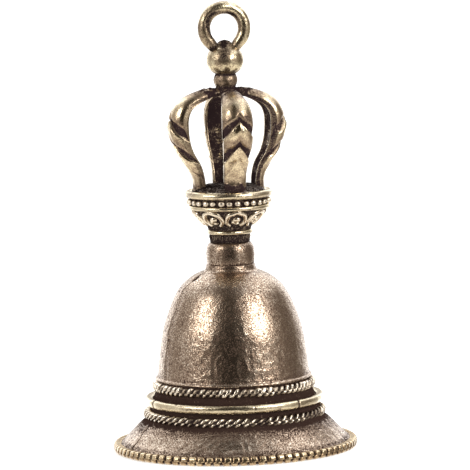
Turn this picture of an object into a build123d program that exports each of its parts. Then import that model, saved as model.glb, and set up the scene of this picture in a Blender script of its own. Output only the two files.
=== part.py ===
from build123d import *
import os
from math import cos, radians, sin

# A small brass puja bell, in millimetres.
# +Z runs up the bell's axis, the origin is the centre of the mouth at the rim, -Y is the front prong.
# Outlines are half sections, given as (radius, height).

# ---- driving dimensions ----
MOUTH_R = 13.50  # outside of the rim rope
LIP_R = 12.75  # outer edge of the cup's own lip
LIP_INNER_R = 11.90
WAIST_R = 8.42  # where the dome meets the upper rope
WAIST_Z = 8.30
NECK_SEAT_R = 2.75  # flat seat on top of the cup
NECK_SEAT_Z = 20.10
CROWN_FLAT_R = 2.40  # flat inside the top of the cup, for the washer
CROWN_FLAT_Z = 18.60
COLLAR_FOOT_Z = 20.50
COLLAR_TOP_Z = 22.95
CUP_TOP_Z = 28.50
PRONG_BEARINGS = {"right": 0, "back": 86.5, "left": 180, "front": 270}  # the back one is bent a little
HUB_NECK_R = 1.15
HUB_BEAD_R = 1.34
BALL_R = 2.05  # the ball is a little flattened
BALL_HALF_HEIGHT = 1.72
BALL_Z = 43.05
NUB_R = 0.95  # solder on top of the ball, between the loop's ends
NUB_TOP_Z = 45.20
LOOP_R = 2.27  # centre line of the hanging loop's round part
LOOP_WIRE_R = 0.73
LOOP_Z = 46.50
LOOP_TURN = 130  # degrees from the top to where each leg leaves the round part
LOOP_LEG = 1.25

STUD_R = 0.95
RUNNING = 0.02  # radial clearance round the stud and the clapper rod
THREAD_GAP = 0.01
STUD_TOP_Z = 25.40
EYE_R = 0.90  # centre line of the stud's eye
EYE_WIRE_R = 0.35
EYE_Z = 16.00
NUT_FLATS = 3.80
NUT_HEIGHT = 1.30
WASHER_R = 2.10
WASHER_HEIGHT = 0.35

LINK_R = 1.15
LINK_WIRE_R = 0.28
HANG_GAP = 0.04  # between wires that hang on each other
LINK_SPLIT = 0.12
CLAPPER_EYE_R = 0.85
CLAPPER_EYE_WIRE_R = 0.35
ROD_R = 0.45
CLAPPER_BALL_R = 2.40
CLAPPER_BALL_Z = 5.40
CLAPPER_FLAT = 0.05  # taken off the ball at each end of its bore
ROD_HEAD_R = 0.75
ROD_HEAD_H = 0.32

# Rings of wire round the bell: (centre-line radius, wire radius, height).
RIM_ROPE = (MOUTH_R - 0.48, 0.48, 0.49)
LOWER_ROPE = (9.54, 0.56, 4.07)
WAIST_RING = (9.44, 0.46, 5.57)
UPPER_ROPE = (8.43, 0.56, 7.20)
CUP_FOOT_RING = (2.26, 0.20, 24.08)
CUP_LOWER_RING = (4.30, 0.20, 26.83)
CUP_RIM_RING = (4.44, 0.40, 28.34)

BEAD_COUNT = 30
BEAD_R = 0.27
BEAD_BAND_R = 4.28
BEAD_ORBIT_R = 4.42
BEAD_Z = 27.52

PETAL_COUNT = 8
PETAL_RELIEF = 0.20  # how far a petal stands off the cup's flank
PETAL_WALL = 0.30  # width of the arch's raised edge
BOSS_R = 0.34
BOSS_ORBIT_R = 3.28
BOSS_Z = 25.45

CHEVRON_R = 0.30  # radius of the groove cut along each arm

# The lotus cup's flank, from the foot ring to the lower ring.
FLANK = [(2.40, 24.40), (2.52, 24.80), (3.05, 25.25), (3.70, 25.80), (4.05, 26.30), (4.18, 26.83)]

# One prong's sections, from foot to hub: outer point, inner point, width.
PRONG_SECTIONS = [
    ((3.92, 29.00), (2.75, 29.00), 2.45),
    ((4.05, 30.20), (2.90, 30.30), 2.50),
    ((4.60, 31.30), (3.20, 31.45), 2.65),
    ((5.55, 32.80), (4.00, 32.90), 2.95),
    ((6.30, 34.40), (4.45, 34.30), 3.25),
    ((6.60, 35.90), (4.60, 35.80), 3.42),
    ((6.38, 37.25), (4.52, 36.90), 3.38),
    ((5.75, 38.35), (4.15, 37.70), 3.15),
    ((4.72, 39.15), (3.50, 38.25), 2.80),
    ((3.50, 39.65), (2.65, 38.65), 2.40),
    ((2.15, 39.98), (1.90, 38.95), 2.05),
    ((0.80, 40.05), (0.80, 39.15), 1.70),
]

# Each chevron groove: apex on the crown line, then the arm's end beside the prong, as (radius, side, height).
CHEVRONS = [
    ((6.62, 0.0, 37.10), (5.65, 1.80, 35.05)),
    ((6.32, 0.0, 34.25), (4.65, 1.60, 32.35)),
]


def turned(*edges):
    """A solid turned about the bell's axis from a closed half section."""
    return revolve(Plane.XZ * make_face(list(edges)), Axis.Z)


def outline(*points):
    """Straight edges through the points and back to the first."""
    return list(Polyline(*points, close=True).edges())


def tube(radius, low, high):
    return Pos(0, 0, low) * Cylinder(radius, high - low, align=(Align.CENTER, Align.CENTER, Align.MIN))


def wire_ring(size):
    radius, wire, height = size
    return Pos(0, 0, height) * Torus(radius, wire)


def around(shape, count, start=0.0):
    """Copies of a shape, evenly spaced about the bell's axis."""
    return [Rot(0, 0, start + 360.0 * i / count) * shape for i in range(count)]


def largest(shape):
    return max(shape.solids(), key=lambda solid: solid.volume)


# ---- the bell ----


def bell_cup():
    dome = Spline(
        (NECK_SEAT_R, NECK_SEAT_Z), (3.45, 19.72), (4.60, 19.02), (5.90, 17.70), (7.00, 15.70),
        (7.72, 13.10), (8.12, 10.40), (WAIST_R, WAIST_Z),
    )
    skirt = Spline(
        (WAIST_R, WAIST_Z), (8.50, 7.10), (8.98, 5.80), (9.32, 4.70), (9.85, 3.72), (10.95, 2.62),
        (LIP_R, 0.80),
    )
    inside = Spline(
        (LIP_INNER_R, 0.0), (10.35, 1.65), (9.05, 3.25), (8.22, 4.90), (7.62, 6.60), (7.25, 8.40),
        (6.95, 10.80), (6.45, 13.30), (5.40, 15.90), (4.00, 17.60), (CROWN_FLAT_R, CROWN_FLAT_Z),
    )
    shell = turned(
        dome,
        skirt,
        Line((LIP_R, 0.80), (LIP_R, 0.0)),
        Line((LIP_R, 0.0), (LIP_INNER_R, 0.0)),
        inside,
        Line((CROWN_FLAT_R, CROWN_FLAT_Z), (0.0, CROWN_FLAT_Z)),
        Line((0.0, CROWN_FLAT_Z), (0.0, NECK_SEAT_Z)),
        Line((0.0, NECK_SEAT_Z), (NECK_SEAT_R, NECK_SEAT_Z)),
    )
    return shell - tube(STUD_R + RUNNING, CROWN_FLAT_Z - 1, NECK_SEAT_Z + 1)


def seated_ring(size, seat):
    """A ring of wire bedded on the surface that it runs round."""
    return largest(wire_ring(size) - seat)


def shoulder_ring():
    outer = 2.82
    bore = STUD_R + RUNNING
    face = outline((bore, NECK_SEAT_Z), (outer, NECK_SEAT_Z), (outer, COLLAR_FOOT_Z), (bore, COLLAR_FOOT_Z))
    ring = turned(*face)
    rims = ring.edges().filter_by(GeomType.CIRCLE).group_by(SortBy.RADIUS)[-1]
    return fillet(rims, 0.15)


def neck_collar():
    bore = STUD_R + RUNNING
    barrel = Spline((2.60, COLLAR_FOOT_Z), (2.70, 21.40), (2.64, 22.20), (2.32, 22.80), (2.15, COLLAR_TOP_Z))
    return turned(
        barrel,
        Line((2.15, COLLAR_TOP_Z), (bore, COLLAR_TOP_Z)),
        Line((bore, COLLAR_TOP_Z), (bore, COLLAR_FOOT_Z)),
        Line((bore, COLLAR_FOOT_Z), (2.60, COLLAR_FOOT_Z)),
    )


# ---- the lotus cup ----


def flank_edges(relief):
    """The cup's flank, stood off outwards by the relief."""
    return Spline(*[(radius + relief, height - relief * 0.6) for radius, height in FLANK])


def lotus_cup():
    stem = 2.20
    flank_foot, flank_top = FLANK[0], FLANK[-1]
    body = turned(
        Line((0.0, COLLAR_TOP_Z), (stem, COLLAR_TOP_Z)),
        Line((stem, COLLAR_TOP_Z), (stem, 24.00)),
        Line((stem, 24.00), flank_foot),
        flank_edges(0.0),
        Line(flank_top, (BEAD_BAND_R, 27.00)),
        Line((BEAD_BAND_R, 27.00), (BEAD_BAND_R, 28.15)),
        Line((BEAD_BAND_R, 28.15), (4.20, CUP_TOP_Z)),
        Line((4.20, CUP_TOP_Z), (0.0, CUP_TOP_Z)),
        Line((0.0, CUP_TOP_Z), (0.0, COLLAR_TOP_Z)),
    )
    return body - tube(STUD_R + THREAD_GAP, COLLAR_TOP_Z - 1, STUD_TOP_Z + 0.1)


def flank_skin():
    """The space just outside the cup's flank that the petals are cut from."""
    inner, outer = flank_edges(0.0), flank_edges(PETAL_RELIEF)
    return turned(inner, outer, Line(inner @ 0, outer @ 0), Line(inner @ 1, outer @ 1))


def petal_arch():
    """One petal's raised edge: an arch that opens downwards, seen from outside at the front."""
    half, foot, spring = 1.28, 24.60, 25.55
    outside = Pos(0, spring) * Ellipse(half, 0.98) + Pos(0, (foot + spring) / 2) * Rectangle(
        2 * half, spring - foot
    )
    inner_half = half - PETAL_WALL
    inside = Pos(0, spring - 0.02) * Ellipse(inner_half, 0.98 - PETAL_WALL) + Pos(
        0, (foot + spring) / 2 - 0.1
    ) * Rectangle(2 * inner_half, spring - foot + 0.16)
    taper = make_face(Polyline((-0.72, foot), (-1.5, spring + 1.2), (1.5, spring + 1.2), (0.72, foot), close=True))
    arch = (outside - inside) & taper
    return extrude(Plane.XZ * arch, 6.0)


def lotus_petals():
    skin = flank_skin()
    petal = skin & petal_arch()
    return Compound([s for copy in around(petal, PETAL_COUNT) for s in copy.solids()])


def petal_bosses(cup):
    boss = Pos(0, -BOSS_ORBIT_R, BOSS_Z) * Sphere(BOSS_R) - cup
    return Compound([largest(copy) for copy in around(boss, PETAL_COUNT)])


def cup_beads():
    bead = Pos(0, -BEAD_ORBIT_R, BEAD_Z) * Sphere(BEAD_R)
    bead = bead - tube(BEAD_BAND_R, BEAD_Z - 1, BEAD_Z + 1)
    return Compound([largest(copy) for copy in around(bead, BEAD_COUNT)])


# ---- the crown ----


def crown_base():
    crest = Spline((4.05, 28.72), (3.70, 29.05), (3.10, 29.22), (1.60, 29.32))
    return turned(
        Line((0.0, CUP_TOP_Z), (4.05, CUP_TOP_Z)),
        Line((4.05, CUP_TOP_Z), (4.05, 28.72)),
        crest,
        Line((1.60, 29.32), (0.0, 29.32)),
        Line((0.0, 29.32), (0.0, CUP_TOP_Z)),
    )


def prong_section(outer, inner, width):
    """A D section that points outwards in the XZ plane: flat inside, rounded outside."""
    depth = Vector(outer[0] - inner[0], 0, outer[1] - inner[1])
    plane = Plane(origin=(inner[0], 0, inner[1]), x_dir=depth, z_dir=depth.cross(Vector(0, 1, 0)))
    thick = depth.length
    heel, shoulder = 0.40 * width, 0.50 * width
    lower = Line((0, heel), (0, -heel))
    sides = [Line((0, -heel), (0.40 * thick, -shoulder)), Line((0.40 * thick, shoulder), (0, heel))]
    crown = ThreePointArc((0.40 * thick, -shoulder), (thick, 0), (0.40 * thick, shoulder))
    return plane * make_face([lower, sides[0], crown, sides[1]])


def rod_between(start, end, radius):
    """A round-ended rod from one point to another."""
    a, b = Vector(*start), Vector(*end)
    shaft = Plane(origin=a, z_dir=b - a) * Cylinder(
        radius, (b - a).length, align=(Align.CENTER, Align.CENTER, Align.MIN)
    )
    return shaft + Pos(*a) * Sphere(radius) + Pos(*b) * Sphere(radius)


def prong(base, hub):
    """The prong that points along +X."""
    body = loft([prong_section(*section) for section in PRONG_SECTIONS])
    for apex, end in CHEVRONS:
        for side in (1, -1):
            body = body - rod_between(apex, (end[0], side * end[1], end[2]), CHEVRON_R)
    return largest(body - base - hub)


def crown_hub(ball):
    bead_low, bead_high = 40.20, 41.40
    body = turned(
        Spline((0.0, 38.65), (0.55, 38.80), (0.80, 39.20)),
        Line((0.80, 39.20), (HUB_NECK_R, 39.20)),
        Line((HUB_NECK_R, 39.20), (HUB_NECK_R, bead_low)),
        ThreePointArc((HUB_NECK_R, bead_low), (HUB_BEAD_R, 40.80), (HUB_NECK_R, bead_high)),
        Line((HUB_NECK_R, bead_high), (HUB_NECK_R, 42.0)),
        Line((HUB_NECK_R, 42.0), (0.0, 42.0)),
        Line((0.0, 42.0), (0.0, 38.65)),
    )
    return body - ball


def finial_ball():
    low, high = BALL_Z - BALL_HALF_HEIGHT, BALL_Z + BALL_HALF_HEIGHT
    nub_foot = (1.15, BALL_Z + 1.42)
    flank = Spline((0, low), (BALL_R, BALL_Z), nub_foot, tangents=[(1, 0), (-0.86, 0.52)])
    nub = Spline(nub_foot, (NUB_R * 0.75, high + 0.20), (0, NUB_TOP_Z), tangents=[(-0.5, 0.5), (-1, 0)])
    return turned(flank, nub, Line((0, NUB_TOP_Z), (0, low)))


def loop_point(turn, radius=LOOP_R):
    """A point on the loop's round part, turned by so many degrees from its top."""
    return (radius * sin(radians(turn)), LOOP_Z + radius * cos(radians(turn)))


def loop_leg_end(side):
    x, z = loop_point(side * LOOP_TURN)
    lean = radians(LOOP_TURN)
    return (x + side * LOOP_LEG * cos(lean), z - LOOP_LEG * sin(lean))


def hanging_loop(ball):
    """An open ring in the XZ plane whose legs close in on the ball and are soldered to it."""
    left, top, right = loop_point(-LOOP_TURN), loop_point(0), loop_point(LOOP_TURN)
    path = Plane.XZ * (
        Line(loop_leg_end(-1), left) + ThreePointArc(left, top, right) + Line(right, loop_leg_end(1))
    )
    start = path @ 0
    wire = sweep(Plane(origin=start, z_dir=path % 0) * Circle(LOOP_WIRE_R), path=path)
    return largest(wire - ball)


# ---- the fastening and the clapper ----


def handle_stud():
    """The stud that screws up into the lotus cup, with the eye that the clapper hangs from."""
    shank = tube(STUD_R, EYE_Z + EYE_R, STUD_TOP_Z)
    eye = Pos(0, 0, EYE_Z) * Rot(90, 0, 0) * Torus(EYE_R, EYE_WIRE_R)
    return shank + eye


def stud_washer():
    low = CROWN_FLAT_Z - WASHER_HEIGHT
    return tube(WASHER_R, low, CROWN_FLAT_Z) - tube(STUD_R + RUNNING, low - 1, CROWN_FLAT_Z + 1)


def stud_nut():
    high = CROWN_FLAT_Z - WASHER_HEIGHT
    low = high - NUT_HEIGHT
    corner = NUT_FLATS / 2 / cos(radians(30))
    blank = Pos(0, 0, low) * extrude(RegularPolygon(corner, 6), NUT_HEIGHT)
    chamfered = blank & turned(
        *outline((0, low), (NUT_FLATS / 2 + 0.02, low), (corner + 0.05, low + 0.25), (corner + 0.05, high), (0, high))
    )
    return chamfered - tube(STUD_R + THREAD_GAP, low - 1, high + 1)


EYE_HANG_Z = EYE_Z - EYE_R
LINK_TOP_Z = EYE_HANG_Z + EYE_WIRE_R + LINK_WIRE_R + HANG_GAP
LINK_Z = LINK_TOP_Z - LINK_R
LINK_HANG_Z = LINK_Z - LINK_R
CLAPPER_EYE_TOP_Z = LINK_HANG_Z + LINK_WIRE_R + CLAPPER_EYE_WIRE_R + HANG_GAP
CLAPPER_EYE_Z = CLAPPER_EYE_TOP_Z - CLAPPER_EYE_R


def clapper_link():
    """An open wire ring in the YZ plane, split at one side."""
    ring = Pos(0, 0, LINK_Z) * Rot(0, 90, 0) * Torus(LINK_R, LINK_WIRE_R)
    split = Pos(0, LINK_R, LINK_Z) * Box(2, 2, LINK_SPLIT)
    return ring - split


def clapper_rod():
    ball_low = CLAPPER_BALL_Z - CLAPPER_BALL_R + CLAPPER_FLAT
    ball_high = CLAPPER_BALL_Z + CLAPPER_BALL_R - CLAPPER_FLAT
    eye = Pos(0, 0, CLAPPER_EYE_Z) * Rot(90, 0, 0) * Torus(CLAPPER_EYE_R, CLAPPER_EYE_WIRE_R)
    shank = tube(ROD_R, ball_low, CLAPPER_EYE_Z - CLAPPER_EYE_R)
    shoulder = tube(ROD_HEAD_R, ball_high, ball_high + ROD_HEAD_H)
    dome_drop = 0.10
    head = turned(
        Line((0, ball_low), (ROD_HEAD_R, ball_low)),
        Line((ROD_HEAD_R, ball_low), (ROD_HEAD_R, ball_low - ROD_HEAD_H + dome_drop)),
        Spline((ROD_HEAD_R, ball_low - ROD_HEAD_H + dome_drop), (0, ball_low - ROD_HEAD_H), tangents=[(-1, -1), (-1, 0)]),
        Line((0, ball_low - ROD_HEAD_H), (0, ball_low)),
    )
    return shank + eye + shoulder + head


def clapper_ball():
    low, high = CLAPPER_BALL_Z - CLAPPER_BALL_R, CLAPPER_BALL_Z + CLAPPER_BALL_R
    ball = Pos(0, 0, CLAPPER_BALL_Z) * Sphere(CLAPPER_BALL_R)
    ball = ball & tube(CLAPPER_BALL_R + 1, low + CLAPPER_FLAT, high - CLAPPER_FLAT)
    return ball - tube(ROD_R + RUNNING, low - 1, high + 1)


def build():
    cup, lotus, base, ball = bell_cup(), lotus_cup(), crown_base(), finial_ball()
    hub = crown_hub(ball)
    nodes = {
        "bell_cup": cup,
        "rim_rope": seated_ring(RIM_ROPE, cup),
        "lower_rope": seated_ring(LOWER_ROPE, cup),
        "waist_ring": seated_ring(WAIST_RING, cup),
        "upper_rope": seated_ring(UPPER_ROPE, cup),
        "shoulder_ring": shoulder_ring(),
        "neck_collar": neck_collar(),
        "lotus_cup": lotus,
        "cup_foot_ring": seated_ring(CUP_FOOT_RING, lotus),
        "cup_lower_ring": seated_ring(CUP_LOWER_RING, lotus),
        "cup_rim_ring": seated_ring(CUP_RIM_RING, lotus + base),
        "lotus_petals": lotus_petals(),
        "petal_bosses": petal_bosses(lotus),
        "cup_beads": cup_beads(),
        "crown_base": base,
        "crown_hub": hub,
        "finial_ball": ball,
        "hanging_loop": hanging_loop(ball),
        "handle_stud": handle_stud(),
        "stud_washer": stud_washer(),
        "stud_nut": stud_nut(),
        "clapper_link": clapper_link(),
        "clapper_rod": clapper_rod(),
        "clapper_ball": clapper_ball(),
    }
    one_prong = prong(base, hub)
    for name, turn in PRONG_BEARINGS.items():
        nodes[f"prong_{name}"] = Rot(0, 0, turn) * one_prong
    return nodes


os.makedirs("parts", exist_ok=True)
for node, shape in build().items():
    export_step(shape, f"parts/{node}.step")
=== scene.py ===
import math

import bmesh
import bpy
import numpy as np
from mathutils import Matrix, Vector


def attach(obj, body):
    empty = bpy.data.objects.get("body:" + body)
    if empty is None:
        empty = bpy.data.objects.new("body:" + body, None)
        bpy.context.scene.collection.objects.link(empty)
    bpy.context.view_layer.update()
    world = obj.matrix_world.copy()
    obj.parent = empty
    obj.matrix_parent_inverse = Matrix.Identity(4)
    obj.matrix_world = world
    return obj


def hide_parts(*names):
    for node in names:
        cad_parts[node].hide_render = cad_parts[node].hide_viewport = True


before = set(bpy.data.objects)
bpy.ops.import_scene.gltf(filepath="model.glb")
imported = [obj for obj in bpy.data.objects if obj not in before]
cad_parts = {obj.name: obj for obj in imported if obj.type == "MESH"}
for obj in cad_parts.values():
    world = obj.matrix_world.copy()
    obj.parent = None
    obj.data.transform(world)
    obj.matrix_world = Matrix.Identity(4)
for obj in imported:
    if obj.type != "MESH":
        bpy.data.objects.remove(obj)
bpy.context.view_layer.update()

MM = 0.001
TURN = 2 * math.pi
TINY = 1e-9  # keeps a division safe where two profile points meet
CURVE_STEPS = 1500  # fine steps along a curve before it is evenly spaced
FRONT = -math.pi / 2  # bearing of the front, from +X
BLOB_AROUND, BLOB_ROWS = 16, 10


# ---- shapes: lengths are in millimetres from here to the floor, lights and camera ----


def hashed(ix, iy, iz, seed):
    """A fixed number from -1 to 1 for each cell of whole numbers."""
    n = ix * 374761393 + iy * 668265263 + iz * 1442695041 + seed * 1274126177
    n = (n ^ (n >> 13)) * 1103515245
    n = n ^ (n >> 16)
    return (n & 0xFFFF) / 32767.5 - 1.0


def noise(points, size, seed):
    """Smooth noise from -1 to 1, with lumps about size across."""
    q = np.asarray(points, float) / size
    cell = np.floor(q).astype(np.int64)
    f = q - cell
    f = f * f * (3 - 2 * f)
    total = np.zeros(q.shape[:-1])
    for corner in range(8):
        step = np.array([corner & 1, corner >> 1 & 1, corner >> 2])
        weight = np.where(step == 1, f, 1 - f).prod(axis=-1)
        c = cell + step
        total += weight * hashed(c[..., 0], c[..., 1], c[..., 2], seed)
    return total


def smoothstep(x, low, high):
    t = np.clip((x - low) / (high - low), 0, 1)
    return t * t * (3 - 2 * t)


def bump(x, centre, width):
    """1 at the centre, falling to 0 about a width away."""
    return np.exp(-(((x - centre) / width) ** 2))


def polar(A, R, Z):
    """Points at bearings A, radii R and heights Z."""
    return np.stack([R * np.cos(A), R * np.sin(A), Z], axis=-1)


def to_axis(side, top, bottom):
    """A profile with both its ends run in to the axis."""
    return np.concatenate([[(0, top)], side, [(0, bottom)]])


def through(points, count):
    """Evenly spaced points along a smooth curve through the given ones."""
    p = np.array(points, float)
    knots = np.concatenate([[0], np.cumsum(np.linalg.norm(np.diff(p, axis=0), axis=1) ** 0.5)])
    slopes = np.gradient(p, knots, axis=0)
    t = np.linspace(0, knots[-1], CURVE_STEPS)
    i = np.clip(np.searchsorted(knots, t, side="right") - 1, 0, len(p) - 2)
    h = (knots[i + 1] - knots[i])[:, None]
    u = (t - knots[i])[:, None] / h
    dense = (
        (2 * u**3 - 3 * u**2 + 1) * p[i]
        + (u**3 - 2 * u**2 + u) * h * slopes[i]
        + (3 * u**2 - 2 * u**3) * p[i + 1]
        + (u**3 - u**2) * h * slopes[i + 1]
    )
    run = np.concatenate([[0], np.cumsum(np.linalg.norm(np.diff(dense, axis=0), axis=1))])
    at = np.linspace(0, run[-1], count)
    return np.stack([np.interp(at, run, dense[:, k]) for k in range(p.shape[1])], axis=1)


def straight(points, step):
    """Points along straight runs between the given ones."""
    out = [np.array(points[0], float)]
    for a, b in zip(points, points[1:]):
        n = max(1, int(math.dist(a, b) / step))
        out += [np.array(a) + (np.array(b) - np.array(a)) * (k + 1) / n for k in range(n)]
    return np.array(out)


def turned(profile, around, relief):
    """A grid turned about the axis. The profile runs down the outside of the solid."""
    r, z = profile[:, 0], profile[:, 1]
    dr, dz = np.gradient(r), np.gradient(z)
    size = np.hypot(dr, dz) + TINY
    nr, nz = -dz / size, dr / size
    angle = np.arange(around) * TURN / around
    A, R = np.meshgrid(angle, r, indexing="ij")
    _, Z = np.meshgrid(angle, z, indexing="ij")
    push, fields = relief(A, R, Z)
    rr, zz = R + push * nr, Z + push * nz
    rr = np.where(R < 1e-6, 0, np.maximum(rr, 0))
    return polar(A, rr, zz), fields


def ring(radius, height, section, sides, around):
    """A ring about the axis. section(a, b) is the wire's radius at bearing a and angle b, 0 outwards."""
    a = np.arange(around) * TURN / around
    b = np.arange(sides) * TURN / sides
    A, B = np.meshgrid(a, b, indexing="ij")
    wire, fields = section(A, B)
    return polar(A, radius + wire * np.cos(B), height + wire * np.sin(B)), fields


def tube(path, wire, sides, up):
    """A tube along a path. wire(t, b) is its radius at t from 0 to 1 and angle b from where up points."""
    path = np.asarray(path, float)
    tangent = np.gradient(path, axis=0)
    tangent /= np.linalg.norm(tangent, axis=1)[:, None]
    up = np.broadcast_to(np.asarray(up, float), path.shape)
    side = np.cross(tangent, up)
    side /= np.linalg.norm(side, axis=1)[:, None]
    top = np.cross(side, tangent)
    t = np.linspace(0, 1, len(path))
    b = np.arange(sides) * TURN / sides
    T, B = np.meshgrid(t, b, indexing="ij")
    w, fields = wire(T, B)
    outward = np.cos(B)[..., None] * top[:, None] + np.sin(B)[..., None] * side[:, None]
    return path[:, None] + w[..., None] * outward, fields


def blob(centre, axes, radii, power=1.0):
    """A rounded lump with its three half sizes along the given axes."""
    a = np.arange(BLOB_AROUND) * TURN / BLOB_AROUND
    v = np.linspace(0, math.pi, BLOB_ROWS)
    A, V = np.meshgrid(a, v, indexing="ij")
    s = np.sin(V) ** power
    local = np.stack([s * np.cos(A) * radii[0], s * np.sin(A) * radii[1], np.cos(V) * radii[2]], axis=-1)
    return np.asarray(centre) + local @ np.asarray(axes, float)


def capped(points, fields):
    """Closes an open tube's two ends, each to the middle of its last row."""
    row = points[:1].shape
    first, last = points[:1].mean(axis=1, keepdims=True), points[-1:].mean(axis=1, keepdims=True)
    grown = np.concatenate([np.broadcast_to(first, row), points, np.broadcast_to(last, row)])
    kept = {k: np.concatenate([v[:1], v, v[-1:]]) for k, v in fields.items()}
    return grown, kept


def face_grid(nu, nv, wrap_u, wrap_v):
    """The corner numbers of each four-sided face in a grid that may close on itself."""
    u = np.arange(nu if wrap_u else nu - 1)
    v = np.arange(nv if wrap_v else nv - 1)
    U, V = np.meshgrid(u, v, indexing="ij")
    U2, V2 = (U + 1) % nu, (V + 1) % nv
    quad = [U * nv + V, U2 * nv + V, U2 * nv + V2, U * nv + V2]
    return np.stack(quad, axis=-1).reshape(-1, 4)


def piece(name, parts, material, nodes, body="bell"):
    """One mesh piece from grids, each (points, fields, wrap_u, wrap_v), in place of the named CAD nodes."""
    coords, faces, patina_and_shading, start = [], [], [], 0
    for points, fields, wrap_u, wrap_v in parts:
        nu, nv = points.shape[:2]
        coords.append(points.reshape(-1, 3))
        faces.append(face_grid(nu, nv, wrap_u, wrap_v) + start)
        patina_and_shading.append(np.broadcast_to(fields.get("patina_and_shading", 0.0), (nu, nv)).reshape(-1))
        start += nu * nv
    co = np.concatenate(coords) * MM
    loops = np.concatenate(faces)
    mesh = bpy.data.meshes.new(name)
    mesh.vertices.add(len(co))
    mesh.vertices.foreach_set("co", co.astype(np.float32).ravel())
    mesh.loops.add(loops.size)
    mesh.loops.foreach_set("vertex_index", loops.astype(np.int32).ravel())
    mesh.polygons.add(len(loops))
    mesh.polygons.foreach_set("loop_start", np.arange(0, loops.size, 4, dtype=np.int32))
    # This attribute holds the metal's patina together with painted shade and painted highlights, which darken
    # or lighten its colour.
    layer = mesh.attributes.new("patina_and_shading", "FLOAT", "POINT")
    layer.data.foreach_set("value", np.clip(np.concatenate(patina_and_shading), 0, 1).astype(np.float32))
    mesh.update(calc_edges=True)
    bm = bmesh.new()
    bm.from_mesh(mesh)
    bmesh.ops.remove_doubles(bm, verts=bm.verts, dist=1e-8)
    bmesh.ops.recalc_face_normals(bm, faces=bm.faces)
    for f in bm.faces:
        f.smooth = True
    bm.to_mesh(mesh)
    bm.free()
    mesh.materials.append(material)
    obj = bpy.data.objects.new(name, mesh)
    bpy.context.scene.collection.objects.link(obj)
    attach(obj, body)
    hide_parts(*nodes)


def turned_piece(name, node, profile, around, relief, material):
    points, fields = turned(profile, around, relief)
    piece(name, [(points, fields, True, False)], material, [node])


def ring_piece(name, node, radius, height, section, sides, around, material):
    points, fields = ring(radius, height, section, sides, around)
    piece(name, [(points, fields, True, True)], material, [node])


# ---- materials ----


def add(tree, kind, inputs=None, **settings):
    """A new shader node. An input is another node's socket or a plain value."""
    made = tree.nodes.new(kind)
    for key, value in settings.items():
        setattr(made, key, value)
    for key, value in (inputs or {}).items():
        socket = made.inputs[key]
        if isinstance(value, bpy.types.NodeSocket):
            tree.links.new(value, socket)
        else:
            socket.default_value = value
    return made


def math_node(tree, operation, a, b, clamp=False):
    return add(tree, "ShaderNodeMath", {0: a, 1: b}, operation=operation, use_clamp=clamp).outputs[0]


def mapped(tree, value, low, high, to_low=0.0, to_high=1.0, **settings):
    """value, from low to high, carried over to the second range."""
    limits = {"Value": value, "From Min": low, "From Max": high, "To Min": to_low, "To Max": to_high}
    return add(tree, "ShaderNodeMapRange", limits, **settings).outputs["Result"]


# Noise lumps per metre, in the casting grain, in dents and in patches of wear.
GRAIN_SCALE, LUMP_SCALE, PATCH_SCALE = 6500.0, 1500.0, 260.0
NOISE_CONTRAST = 4.0
BARE_UNTIL = 0.62  # patina age up to which bare metal shows through


def brass(
    name,
    age,
    grain,
    blotch,
    rough,
    clean=(0.72, 0.60, 0.40),
    mid=(0.36, 0.285, 0.21),
    dark=(0.028, 0.019, 0.017),
    pits=0.03,
    dents=0.05,
):
    """Old brass: clean metal on the high parts, brown where it is touched less, very dark in the recesses.
    The mesh attribute that sets this also carries painted shade and painted highlights.
    """
    mat = bpy.data.materials.new(name)
    mat.use_nodes = True
    t = mat.node_tree
    t.nodes.clear()
    at = add(t, "ShaderNodeTexCoord").outputs["Object"]
    fine, lumps, wide = (
        add(
            t, "ShaderNodeTexNoise", {"Vector": at, "Scale": scale, "Detail": detail, "Roughness": 0.6}
        ).outputs["Fac"]
        for scale, detail in ((GRAIN_SCALE, 2.0), (LUMP_SCALE, 3.0), (PATCH_SCALE, 3.0))
    )
    patina_and_shading = add(t, "ShaderNodeAttribute", attribute_name="patina_and_shading").outputs["Fac"]
    patina_and_shade_level = math_node(t, "ADD", patina_and_shading, age)
    for source, strength in ((fine, -grain), (lumps, -blotch), (wide, blotch)):
        centred = math_node(t, "SUBTRACT", source, 0.5)
        scaled = math_node(t, "MULTIPLY", centred, strength * NOISE_CONTRAST)
        patina_and_shade_level = math_node(t, "ADD", patina_and_shade_level, scaled)
    patina_and_shade_level = math_node(t, "MAXIMUM", patina_and_shade_level, 0.0, clamp=True)
    ramp = add(t, "ShaderNodeValToRGB", {"Fac": patina_and_shade_level})
    stops = ramp.color_ramp.elements
    stops[0].position, stops[0].color = 0.0, (*clean, 1)
    stops[1].position, stops[1].color = 1.0, (*dark, 1)
    middle = stops.new(0.5)
    middle.color = (*mid, 1)
    bump_fine = add(t, "ShaderNodeBump", {"Height": fine, "Strength": 1.0, "Distance": pits * MM})
    bump_lumps = add(
        t,
        "ShaderNodeBump",
        {"Height": lumps, "Strength": 1.0, "Distance": dents * MM, "Normal": bump_fine.outputs[0]},
    )
    shader = add(
        t,
        "ShaderNodeBsdfPrincipled",
        {
            "Base Color": ramp.outputs["Color"],
            "Metallic": mapped(t, patina_and_shade_level, BARE_UNTIL, 1.0, 1.0, 0.0),
            "Specular IOR Level": 0.0,
            "Roughness": mapped(t, patina_and_shade_level, 0.0, 1.0, *rough),
            "Normal": bump_lumps.outputs[0],
        },
    )
    add(t, "ShaderNodeOutputMaterial", {"Surface": shader.outputs[0]})
    return mat


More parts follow.
